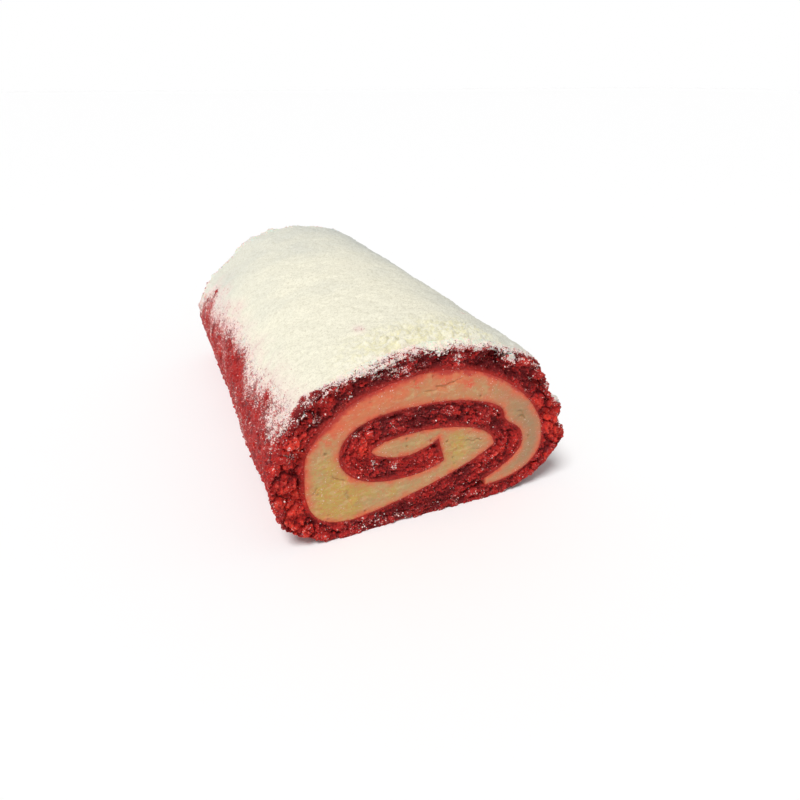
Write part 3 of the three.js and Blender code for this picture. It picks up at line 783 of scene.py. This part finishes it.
def buildSponge():
    shell = Shell("facing", "sheet", "relief", "torn", "dust", "fringe", "warmth", "crumbs", "grains",
                  "chunks")
    inner, outer = faces["inner"], faces["outer"]
    sections = [inner, np.vstack([inner[-1], outer[-1]]), skinLine[::-1],
                outer[~skinMask | (faces["outerAt"] == faces["outerAt"][skinMask][0])][::-1],
                np.vstack([outer[0], inner[0]])]
    front = cutFace(shell, sections, -1, sponge["frontSpacing"])
    back = cutFace(shell, sections, 1, sponge["backSpacing"])
    for k in range(len(sections)):
        if k != skinRun:
            shell.join(front[k], back[k])

    def skinGrid(columns, rows):
        s, y = np.meshgrid(columns, rows, indexing="ij")
        cover = coatCover(s, y)
        points, normal = skinPoints(s, y, spongeSink(s, y))
        above = smooth(points[..., 2], 0.2, 2.5)
        relief = smooth(cover, 0.35, 0) * above
        level = dustOnSkin(points, s, y)
        fromEnd = half - np.abs(y)
        atEnd = bell(fromEnd, 5)
        torn = 0.14 + 0.86 * bell(fromEnd, 9)
        red = relief * (1 - smooth(level, 0.5, 1.1)) * np.where(y > 0, smooth(points[..., 2], 48, 34), 1)
        speckled = relief * smooth(level, 0.1, 0.5) * (0.08 + 0.6 * atEnd)
        warmth = -0.05 - 0.6 * atEnd * smooth(points[..., 2], 44, 58)
        return shell.add(points, facing=normal, sheet=np.stack([s, y, 5 + 0 * s], -1), relief=relief,
                         torn=torn, dust=level, warmth=warmth, crumbs=red, grains=speckled,
                         chunks=red * (0.02 + atEnd))

    fine = np.linspace(skinLength, 0, int(skinLength / sponge["rimSpacing"]))
    steps = rimInset + np.linspace(0, 1, sponge["rimRows"] + 1)[1:] ** 1.2 * sponge["rimReach"]
    frontRim = skinGrid(fine, -half + steps)
    backRim = skinGrid(fine[::2], (half - steps[::2])[::-1])
    columns = [0.0]
    while columns[-1] < skinLength:
        s = columns[-1]
        z = np.interp(s, skinArc, skinLine[:, 1])
        covered = leftArc + sponge["coveredFrom"] < s < rightArc - sponge["coveredFrom"]
        columns.append(s + sponge["coveredRows" if covered else "bottomRows" if z < 0.6 else "rows"])
    columns = np.array(columns[:-1] + [skinLength])[::-1]
    reach = half - steps[-1] - sponge["rows"]
    rows = np.linspace(-reach, reach, int(2 * reach / sponge["rows"]))
    body = skinGrid(columns, rows)
    for ids in (frontRim, body, backRim):
        shell.grid(ids)
    shell.join(front[skinRun], frontRim[:, 0])
    shell.join(frontRim[:, -1], body[:, 0])
    shell.join(body[:, -1], backRim[:, 0])
    shell.join(backRim[:, -1], back[skinRun])
    # the two long edges of the skin, closed against the walls beside them
    for row in (0, -1):
        chain = [front[skinRun][row], *frontRim[row], *body[row], *backRim[row], back[skinRun][row]]
        made = [(chain[0], chain[k], chain[k + 1]) for k in range(1, len(chain) - 1)]
        shell.faces.append(np.array(made))
    return shell.build("spongeBase")


def reliefTree():
    n = Shaping("crumbRelief", {
        "Lump Size": 8.0, "Lump Depth": 0.8, "Clump Size": 3.4, "Clump Depth": 0.85, "Crumb Size": 1.4,
        "Crumb Depth": 0.6, "Grain Size": 0.65, "Grain Depth": 0.5, "Pore Size": 2.6, "Pore Depth": 0.95,
        "Fibre Depth": 1.3, "Tear": 1.0,
    })
    g = n.given
    # crumbs lie along the sheet, so its own coordinates are squeezed that way
    laid = n.vector("MULTIPLY", n.read("sheet", "FLOAT_VECTOR"), (0.72, 0.9, 1.1))
    drift = n.drift(laid, 2.6, 2.0, 0.5, 3)
    warped = n.vector("ADD", laid, n.scale(drift, 2.6))
    torn = n.read("torn")

    def lumps(name, place, channel, dome):
        cell = n.add("ShaderNodeTexVoronoi", {"Vector": place, "Scale": n.per(name + " Size")})
        step = n.minus(n.part(cell.outputs["Color"], channel), 0.5)
        bead = n.minus(0.43, cell.outputs["Distance"])
        return n.times(n.math("MULTIPLY_ADD", bead, dome, step), g[name + " Depth"])

    large = lumps("Lump", n.vector("ADD", warped, n.scale(drift, 3.0)), 2, 1.6)
    clumps = n.plus(lumps("Clump", warped, 0, 1.3), large)
    crumbs = lumps("Crumb", n.vector("ADD", warped, (5.1, 2.3, 8.8)), 1, 1.9)
    grains = lumps("Grain", n.vector("ADD", n.place, n.scale(drift, 0.8)), 2, 1.6)
    pore = n.sized("Pore Size", 2.0, 0.55, n.vector("ADD", warped, (31.0, 7.0, 3.0)))
    holes = n.times(n.ramp(pore, 0.53, 0.68), g["Pore Depth"])
    fibre = n.noise(n.vector("MULTIPLY", warped, (0.3, 1.0, 1.25)), 1.3, seed=15)
    coarse = n.times(n.plus(n.minus(clumps, holes), n.around(fibre, g["Fibre Depth"])), torn)
    fine = n.plus(n.times(crumbs, n.math("MULTIPLY_ADD", torn, 0.55, 0.45)), grains)
    total = n.plus(coarse, fine)
    relief = n.read("relief")
    along = n.scale(n.read("facing", "FLOAT_VECTOR"), n.times(n.times(total, relief), mm))
    tear = n.times(n.times(n.times(relief, torn), g["Tear"]), mm)
    aside = n.scale(n.drift(n.place, 1.6, 2.0, 0.6, 9), tear)
    mesh = n.keep(g["Geometry"], "height", total)
    return n.finish(n.bound(n.move(mesh, n.vector("ADD", along, aside))))


def newMaterial(name):
    material = bpy.data.materials.new(name)
    material.use_nodes = True
    n = Nodes(material.node_tree)
    n.tree.nodes.clear()
    n.place = n.scale(n.add("ShaderNodeTexCoord").outputs["Object"], 1 / mm)
    n.shader = n.add("ShaderNodeBsdfPrincipled")
    last = n.add("ShaderNodeOutputMaterial")
    n.tree.links.new(n.shader.outputs[0], last.inputs[0])
    return material, n


def setShader(n, bump=None, **values):
    names = {"colour": "Base Color", "roughness": "Roughness", "specular": "Specular IOR Level",
             "soft": "Subsurface Weight", "radius": "Subsurface Radius", "scale": "Subsurface Scale",
             "normal": "Normal"}
    if bump:
        values["normal"] = n.add("ShaderNodeBump", dict(zip(("Strength", "Distance", "Height"), bump)))
    for key, value in values.items():
        n.connect(value, n.shader.inputs[names[key]])


def rgb(r, g, b):
    def linear(v):
        v = v / 255
        return v / 12.92 if v <= 0.04045 else ((v + 0.055) / 1.055) ** 2.4
    return (linear(r), linear(g), linear(b), 1)


looks = {
    "maroon": rgb(108, 15, 20), "red": rgb(168, 30, 28), "bright": rgb(216, 58, 42),
    "fringe": rgb(164, 38, 30), "glintPink": rgb(214, 112, 98), "powder": rgb(240, 236, 216),
    "powderCoolShade": rgb(208, 210, 203), "powderYellow": rgb(232, 226, 188), "powderShade": rgb(186, 180, 158),
    "dust": rgb(234, 210, 204), "cream": rgb(178, 150, 98), "creamPink": rgb(216, 120, 76),
    "creamPale": rgb(204, 172, 124), "creamYellow": rgb(188, 156, 76), "creamShadeRight": rgb(146, 104, 82),
    "crack": rgb(146, 112, 62), "orange": rgb(204, 112, 74), "bleed": rgb(182, 44, 30),
    "flame": rgb(220, 92, 58), "grain": rgb(252, 232, 226),
}


# where white dust covers the red: fine speckle that closes up as the level rises
def dustCover(n, level, lift):
    coarse = n.noise(n.place, 1.7, 2.0, 0.6, 4)
    fine = n.noise(n.place, 0.5, 2.0, 0.6, 6)
    spread = n.around(n.plus(n.times(fine, 0.62), n.times(coarse, 0.38)), 3.4, 0.5)
    return n.ramp(n.minus(n.plus(level, lift), spread), -0.18, 0.22)


# the powder's colour, cooler and darker towards the right and the back as painted shade, pinkish where it
# lies thin on the red
def powderColour(n, level):
    # towards the right and the back the powder turns cooler and darker: painted shade, with a broad random
    # change of tone over it
    coolShade = n.plus(n.ramp(n.part(n.place, 0), 2, 42, 0.0, 0.8), n.ramp(n.part(n.place, 1), -40, 90, 0.0, 0.6))
    coolShade = n.around(n.noise(n.place, 22, seed=31), 0.9, coolShade, clamp=True)
    base = n.tint(looks["powder"], "powderCoolShade", coolShade)
    clots = n.ramp(n.noise(n.place, 2.2, 3.0, 0.6, 33), 0.42, 0.62)
    base = n.tint(base, "powderYellow", n.times(n.value("clotted"), clots))
    # darker where fine is low, and the powder's bump takes fine as its height: painted shade in the bump's
    # hollows; the larger mottle after it is random tone
    fine = n.noise(n.place, 0.6, 3.0, 0.65, 34)
    base = n.tint(base, "powderShade", fine, 0.3, 0.56, 0.42, 0.0)
    base = n.tint(base, "powderShade", n.noise(n.place, 1.6, 2.0, 0.6, 35), 0.28, 0.5, 0.3, 0.0)
    return n.colour(n.ramp(level, 0.45, 1.25), looks["dust"], base), fine


def spongeColour(n, warmth, height):
    value = n.around(n.noise(n.place, 6, seed=2), 1.0, 0.42)
    value = n.around(n.noise(n.place, 1.3, 3.0, 0.6, 7), 0.9, value)
    value = n.plus(value, n.times(warmth, 0.75))
    # raised crumb is painted brighter and sunken crumb darker: painted light on the tips and painted shade in
    # the hollows
    value = n.plus(value, n.times(height, 0.32), clamp=True)
    dark = n.tint(looks["maroon"], "red", value, 0.0, 0.5)
    return n.tint(dark, "bright", value, 0.5, 1.0)


def spongeMaterial():
    material, n = newMaterial("redSponge")
    height, level = n.value("height"), n.value("dust")
    base = spongeColour(n, n.value("warmth"), height)
    patchy = n.ramp(n.noise(n.place, 3, seed=8), 0.25, 0.6, 0.6, 1.0)
    base = n.tint(base, "fringe", n.times(n.value("fringe"), patchy))
    # small pink specks: painted glints
    base = n.tint(base, "glintPink", n.noise(n.place, 0.6, seed=13), 0.61, 0.7, 0.0, 0.45)
    whole = n.ramp(n.value("torn"), 0.15, 0.9, 1.0, 0.0)
    base = n.tint(base, "dust", n.times(n.ramp(level, 0.05, 0.9, 0.0, 0.25), whole))
    base = n.colour(dustCover(n, level, n.times(height, 0.16)), base, powderColour(n, level)[0])
    setShader(n, colour=base, roughness=0.65, specular=0.2, soft=0.5, radius=(1.0, 0.2, 0.14), scale=0.002,
              bump=(0.35, 0.0003, n.noise(n.place, 0.5, 3.0, 0.6, 12)))
    return material


def creamMaterial():
    material, n = newMaterial("creamFilling")
    small = n.noise(n.place, 0.9, 3.0, 0.65, 22)
    streaks = n.noise(n.vector("MULTIPLY", n.place, (0.6, 1.0, 1.2)), 2.2, 3.0, 0.6, 25)
    warm = n.around(n.noise(n.place, 8, seed=21), 1.2, n.value("warmth"))
    base = looks["cream"]
    for name, value, *span in (("creamPink", warm, 0.0, 0.9), ("creamYellow", warm, -0.5, 0.0, 1.0, 0.0),
                               ("creamPale", streaks, 0.48, 0.66, 0.0, 0.55),
                               ("orange", small, 0.38, 0.54, 0.4, 0.0),
                               # the cream darkens towards the right: painted shade
                               ("creamShadeRight", n.part(n.place, 0), 12, 44, 0.0, 0.5),
                               # darker in the cracks and pits, by their depth: painted shade
                               ("crack", n.value("height"), -0.12, -0.6, 0.0, 0.6)):
        base = n.tint(base, name, value, *span)
    ragged = n.noise(n.place, 2.0, 3.0, 0.6, 23)
    border = n.math("MULTIPLY_ADD", n.minus(0.5, ragged), 2.6, n.value("border"))
    bleed = n.value("bleed")
    border = n.minus(border, n.times(bleed, 1.3))
    blot = n.ramp(n.noise(n.place, 2.6, 3.0, 0.6, 29), 0.42, 0.58)
    base = n.tint(base, "flame", n.times(n.times(blot, bleed), 0.95, clamp=True))
    # the red that has crept in from the sponge fades at its own pace from place to place
    pace = n.ramp(n.noise(n.place, 5.0, seed=30), 0.36, 0.64, 0.35, 1.0)
    base = n.tint(base, "orange", n.times(n.ramp(border, 0.8, 4.6, 0.85, 0.0), pace))
    base = n.tint(base, "flame", n.times(n.ramp(border, -0.3, 2.4, 1.0, 0.0), pace))
    base = n.tint(base, "bleed", border, -0.8, 1.2, 1.0, 0.0)
    # tiny white specks in the dust colour: painted glints
    glint = n.ramp(n.noise(n.place, 0.55, seed=27), 0.66, 0.72, 0.0, 0.85)
    patch = n.ramp(n.noise(n.place, 5, seed=28), 0.4, 0.6, 0.3, 1.0)
    base = n.tint(base, "dust", n.times(glint, patch))
    setShader(n, colour=base, roughness=0.42, specular=0.4, soft=0.25, radius=(1.0, 0.5, 0.25), scale=0.002,
              bump=(0.6, 0.0004, small))
    return material


def powderMaterial():
    material, n = newMaterial("milkPowder")
    level = n.value("dust")
    white, fine = powderColour(n, level)
    under = n.tint(spongeColour(n, n.value("warmth"), 0.1), "dust", level, 0.05, 0.9, 0.0, 0.35)
    setShader(n, colour=n.colour(dustCover(n, level, 0.0), under, white), roughness=0.9, specular=0.1,
              bump=(0.9, 0.0004, fine))
    return material


def grainMaterial():
    material, n = newMaterial("looseGrains")
    shade = n.noise(n.place, 1.5, seed=41)
    setShader(n, colour=n.tint(looks["grain"], "dust", shade, 0.4, 0.7), roughness=0.85, specular=0.15)
    return material


spongeLook = spongeMaterial()
grainLook = grainMaterial()
creamLook = creamMaterial()
powderLook = powderMaterial()

bare = buildSponge()
spongePiece = shaped(bare, reliefTree(), {"Material": spongeLook, **box}, "spongeSheet")
print("sponge made")


cream = {
    "frontSpacing": 0.3, "backSpacing": 0.55, "cut": 92.75, "lap": 0.12,
    "warmth": places("x z reach amount", (
        (-34, 15, 14, -0.65), (10, 27, 8, -0.3), (-19, 54, 12, 0.95), (12, 55, 12, 0.6), (-34, 47, 6, 0.6),
        (32, 45, 8, 0.35), (42, 18, 9, 0.1), (20, 11, 10, 0.15), (-33, 43, 6, 0.15),
    )),
    "bleed": places("x z reach amount", (
        (-22, 55.5, 7, 0.9), (-32, 49, 5, 0.8), (-11, 57.5, 5, 0.8), (5.5, 57.2, 4.5, 1.4),
        (14, 54, 3, 1.3), (24, 51, 5, 0.7), (-5, 55.3, 2.4, 1.1), (-36, 47, 4, 0.8), (35, 47, 4, 1.0),
        (-38, 43, 5, 0.8), (15, 50.6, 1.6, 0.9), (-40, 13, 12, -0.45), (-8, 18, 12, -0.4),
        (41, 26, 9, -0.35), (17, 11, 5, 0.3),
    )),
    # fine grooves from one place to another
    "cracks": places("from to wide depth", (
        ((1.5, 52.2), (9.0, 53.2), 0.32, 0.5), ((-2.5, 51.6), (3.0, 51.8), 0.26, 0.35),
        ((8.0, 53.2), (12.0, 54.8), 0.26, 0.35), ((3.6, 52.2), (6.0, 50.4), 0.24, 0.3),
        ((36.6, 33.4), (40.4, 31.8), 0.4, 0.6), ((36.0, 36.0), (38.6, 34.2), 0.3, 0.5),
        ((14.0, 28.2), (22.0, 27.3), 0.36, 0.42), ((-36.5, 27.2), (-31.0, 23.4), 0.5, 0.45),
        ((-31.5, 19.6), (-30.0, 15.0), 0.9, 0.4), ((-43.5, 20.4), (-40.5, 23.8), 0.5, 0.4),
        ((17.0, 24.0), (21.5, 22.4), 0.5, 0.35),
    )),
    # soft swellings left by the knife
    "smears": places("x z reach depth", (
        (-30, 21.6, 3.0, 0.5), (-28.2, 14.2, 1.7, 0.6), (-41, 27.5, 2.4, 0.4), (10.4, 26.6, 1.0, 0.5),
        (39.5, 30.2, 1.6, 0.5), (5, 54.3, 2.2, 0.3),
    )),
}


# depth of the cracks at places in the section
def crackDepth(x, z):
    total = 0 * x
    for number, crack in enumerate(cream["cracks"]):
        a, b = np.array(crack["from"]), np.array(crack["to"])
        length = np.linalg.norm(b - a)
        ahead = (b - a) / length
        along = (x - a[0]) * ahead[0] + (z - a[1]) * ahead[1]
        aside = (z - a[1]) * ahead[0] - (x - a[0]) * ahead[1]
        aside = aside + 0.7 * noise(along, number, 0, 1.8, 61)
        taper = smooth(along, -0.5, 1.2) * smooth(along, length + 0.5, length - 1.2)
        total = total + crack["depth"] * taper * bell(aside, crack["wide"])
    return total


def buildCream():
    shell = Shell("facing", "relief", "border", "marks", "warmth", "bleed")
    inner, innerAt = faces["inner"], faces["innerAt"]
    outer, outerAt = faces["outer"], faces["outerAt"]
    inner = inner + outward(inner) * cream["lap"]
    outer = outer - outward(outer) * cream["lap"]
    inner, innerAt = cutLoops(inner, innerAt)
    outer, outerAt = cutLoops(outer, outerAt)
    outwardRun = inner[(innerAt < turnAt[outerRight]) | (inner[:, 0] > creamTipX)]
    overTail = (outerAt < turnAt[underside]) & (outer[:, 0] > creamTipX)
    homeward = outer[(outerAt < turnAt[innerRight]) | overTail][::-1]
    sections = [outwardRun, np.vstack([outwardRun[-1], homeward[0]]),
                homeward, np.vstack([homeward[-1], outwardRun[0]])]

    rings = []
    for end, spacing in ((-1, cream["frontSpacing"]), (1, cream["backSpacing"])):
        outline, spans = joinRuns(sections, spacing)
        points, triangles = fillSection(outline, spacing)
        x, z = points.T
        border = distanceTo(outline, points)
        marks = crackDepth(x, z) if end < 0 else 0 * x
        swell = placeSum(cream["smears"], x, z, "depth") if end < 0 else 0
        y = end * (cream["cut"] - 0.12 * bell(border, 0.5) - marks + swell)
        ids = shell.add(np.stack([x, y, z], 1), facing=(0, end, 0),
                        relief=smooth(border, 0, 0.8), border=border, marks=marks,
                        warmth=placeSum(cream["warmth"], x, z, "amount"),
                        bleed=placeSum(cream["bleed"], x, z, "amount"))
        shell.faces.append(ids[triangles])
        rings.append([ids[span] for span in spans])
    for a, b in zip(*rings):
        shell.join(a, b)
    return shell.build("creamBase")


def creamTree():
    n = Shaping("creamSurface", {"Swell Size": 6.0, "Swell Depth": 1.0, "Drag Depth": 0.5, "Pit Size": 3.2,
                                 "Pit Depth": 0.5})
    g = n.given
    swells = n.around(n.sized("Swell Size"), g["Swell Depth"])
    dragged = n.vector("MULTIPLY", n.place, (0.55, 1.0, 1.6))
    drags = n.around(n.noise(dragged, 1.5, 3.0, 0.6, 5), g["Drag Depth"])
    pits = n.pits((0.08, 0.26), (0.6, 0.8))
    # the depth of the pits and cracks, kept for their painted shade
    mesh = n.keep(g["Geometry"], "height", n.times(n.plus(pits, n.read("marks")), -1.0))
    return n.finish(n.bound(n.lift(mesh, n.minus(n.plus(swells, drags), pits))))


creamPiece = shaped(buildCream(), creamTree(), {"Material": creamLook, **box}, "creamFilling")
print("cream made")


def buildCoat():
    shell = Shell("facing", "relief", "dust", "warmth", "clotted")
    across = int((rightArc - leftArc) / coat["spacing"])
    along = int(roll["length"] / coat["spacing"])

    def layer(countAcross, countAlong, drop):
        part, place = np.meshgrid(np.linspace(0, 1, countAcross), np.linspace(-1, 1, countAlong),
                                  indexing="ij")
        middleS = mix(leftArc, rightArc, part)
        ragged = 1.1 * noise(middleS, 0, 0, 2.4, 5) + 0.5 * noise(middleS, 9, 0, 0.9, 6)
        ragged = ragged * smooth(np.abs(place), coat["frayed"], 1)
        y = place * (half - coat["fromEnd"] + ragged)
        left, right = coatSides(y)
        s = mix(left - coat["overlap"], right + coat["overlap"], part)
        edge = np.minimum(np.minimum(s - s[:1], s[-1:] - s), (1 - np.abs(place)) * half)
        cover = coatCover(s, y)
        raised = np.minimum(smooth(edge, 0, 2.6), smooth(cover, 0, 0.45))
        sink = mix(coat["tuckedIn"], -coat["rise"], raised) + drop
        points, normal = skinPoints(s, y, sink)
        level = dustOnSkin(points, s, y)
        fromEnd = half - np.abs(y)
        x, z = points[..., 0], points[..., 2]
        clotted = smooth(fromEnd, 30, 8) * smooth(x, -38, -10) * (1 - smooth(x, 18, 30)) * (y < 0)
        return shell.add(points, facing=normal, relief=cover * smooth(edge, 0, 1.5), dust=level,
                         warmth=-0.1, clotted=clotted)

    top = layer(across, along, 0.0)
    under = layer(*coat["underGrid"], coat["thick"])
    shell.grid(top)
    shell.grid(under)
    for side in (np.s_[0], np.s_[-1], np.s_[:, 0], np.s_[:, -1]):
        shell.join(top[side], under[side])
    return shell.build("coatBase")


def powderTree():
    n = Shaping("powderSurface", {
        "Grain Size": 1.9, "Grain Depth": 1.3, "Ripple Depth": 0.7, "Wave Size": 7.0, "Wave Depth": 1.6,
        "Clot Size": 2.8, "Clot Depth": 2.2, "Pit Size": 3.4, "Pit Depth": 0.5,
    })
    g = n.given
    grains = n.around(n.sized("Grain Size", 2.0, 0.6), g["Grain Depth"])
    drawn = n.vector("MULTIPLY", n.place, (0.35, 0.9, 0.35))
    ripples = n.around(n.noise(drawn, 1.6, seed=3), g["Ripple Depth"])
    ripples = n.plus(ripples, n.around(n.sized("Wave Size", 1.0), g["Wave Depth"]))
    clots = n.times(n.times(n.ramp(n.sized("Clot Size"), 0.45, 0.7), n.read("clotted")), g["Clot Depth"])
    total = n.minus(n.plus(n.plus(grains, ripples), clots), n.pits((0.03, 0.16), (0.72, 0.8)))
    return n.finish(n.bound(n.lift(g["Geometry"], total)))


coatPiece = shaped(buildCoat(), powderTree(), {"Material": powderLook, **box}, "powderCoat")
print("powder made")

# loose crumbs and grains, scattered where the sponge's own values say
loose = {
    "crumbs": {"density": 0.22, "small": 0.5, "large": 1.5, "sunk": 0.1, "seed": 3},
    "grains": {"density": 1.0, "small": 0.3, "large": 0.7, "sunk": 0.1, "seed": 8},
    "chunks": {"density": 0.045, "small": 1.6, "large": 3.4, "sunk": 0.3, "seed": 5},
}


def scatterTree(name, roundness):
    n = Shaping(name, {"Density": 1.0, "Small": 0.5, "Large": 1.0, "Sunk": 0.1, "Seed": 1, "Height": 0.5,
                       "Roughness": 0.3})
    g = n.given

    def anyVector(low, high, seed):
        return n.add("FunctionNodeRandomValue", {0: (low,) * 3, 1: (high,) * 3, "Seed": seed},
                     data_type="FLOAT_VECTOR").outputs[0]

    amount = n.times(n.times(g["Density"], 1 / mm**2), n.read(name))
    spread = n.add("GeometryNodeDistributePointsOnFaces",
                   {"Mesh": g["Geometry"], "Density": amount, "Seed": g["Seed"]}, distribute_method="RANDOM")
    size = n.add("FunctionNodeRandomValue", {"Min": g["Small"], "Max": g["Large"], "Seed": g["Seed"]},
                 data_type="FLOAT").outputs[1]
    stretch = anyVector(0.7, 1.25, 11)
    turn = anyVector(0.0, 6.3, 12)
    bead = n.add("GeometryNodeMeshIcoSphere", {"Radius": 0.5 * mm, "Subdivisions": roundness}).outputs[0]
    down = n.scale(spread.outputs["Normal"], n.times(n.times(g["Sunk"], size), -mm))
    points = n.move(spread.outputs["Points"], down)
    placed = n.add("GeometryNodeInstanceOnPoints", {"Points": points, "Instance": bead, "Rotation": turn,
                                                    "Scale": n.scale(stretch, size)}).outputs[0]
    mesh = n.add("GeometryNodeRealizeInstances", {"Geometry": placed}).outputs[0]
    mesh = n.keep(mesh, "height", g["Height"])
    rough = n.drift(n.place, 0.9, 2.0, 0.6, 2)
    mesh = n.move(mesh, n.scale(rough, n.times(g["Roughness"], 2 * mm)))
    return n.finish(n.bound(mesh))


def scatter(kind, name, roundness, look, height, roughness):
    values = {key.capitalize(): value for key, value in loose[kind].items()}
    values.update({"Material": look, "Height": height, "Roughness": roughness, **box})
    return shaped(spongePiece, scatterTree(kind, roundness), values, name, keepSource=True)


crumbPiece = scatter("crumbs", "looseCrumbs", 1, spongeLook, 0.45, 0.2)
grainPiece = scatter("grains", "powderGrains", 1, grainLook, 0.5, 0.22)
chunkPiece = scatter("chunks", "crumbChunks", 3, spongeLook, 0.35, 1.0)
for piece, slotName in ((crumbPiece, "sponge"), (grainPiece, "powder"), (chunkPiece, "sponge")):
    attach(piece, "root")
print("crumbs and grains scattered")

for piece, node, slotName in ((spongePiece, "sponge", "sponge"), (creamPiece, "cream", "cream"),
                              (coatPiece, "powder_coat", "powder")):
    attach(piece, "root")
    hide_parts(node)


view = {"place": (-0.081, -0.25087, 0.14356), "turn": (61.62, 0, -23.459), "lens": 26.81, "sensor": 36}
cameraData = bpy.data.cameras.new("camera")
cameraData.lens = view["lens"]
cameraData.sensor_width = view["sensor"]
camera = addObject("camera", cameraData)
camera.location = view["place"]
camera.rotation_euler = [math.radians(a) for a in view["turn"]]
bpy.context.scene.camera = camera

studio = {"floor": (0.93, 0.93, 0.93, 1), "dome": 0.36, "horizon": 1.0, "sun": 2.5, "soft": 24,
          "from": (-0.34, -0.3, 0.89), "reach": 9}
floorMaterial, n = newMaterial("paleFloor")
setShader(n, colour=studio["floor"], roughness=0.8, specular=0.1)
floorMesh = bpy.data.meshes.new("floor")
corners = [(x * studio["reach"], y * studio["reach"], 0) for x, y in ((-1, -1), (1, -1), (1, 1), (-1, 1))]
floorMesh.from_pydata(corners, [], [(0, 1, 2, 3)])
floorMesh.materials.append(floorMaterial)
floor = addObject("floor", floorMesh)

# an even pale room: white near the horizon, dimmer overhead, where a broad soft lamp stands in for it
world = bpy.data.worlds.new("studio")
world.use_nodes = True
n = Nodes(world.node_tree)
height = n.part(n.add("ShaderNodeTexCoord").outputs["Generated"], 2)
strength = n.ramp(height, 0.1, 0.3, studio["horizon"], studio["dome"])
strength = n.math("MAXIMUM", strength, n.add("ShaderNodeLightPath").outputs["Is Camera Ray"])
n.tree.links.new(strength, n.tree.nodes["Background"].inputs["Strength"])
n.tree.nodes["Background"].inputs["Color"].default_value = (1, 1, 1, 1)
bpy.context.scene.world = world

lampData = bpy.data.lights.new("softbox", "SUN")
lampData.energy = studio["sun"]
lampData.angle = math.radians(studio["soft"])
lamp = addObject("softbox", lampData)
lamp.rotation_euler = Vector(studio["from"]).to_track_quat("Z", "Y").to_euler()
bpy.context.scene.view_settings.view_transform = "Standard"
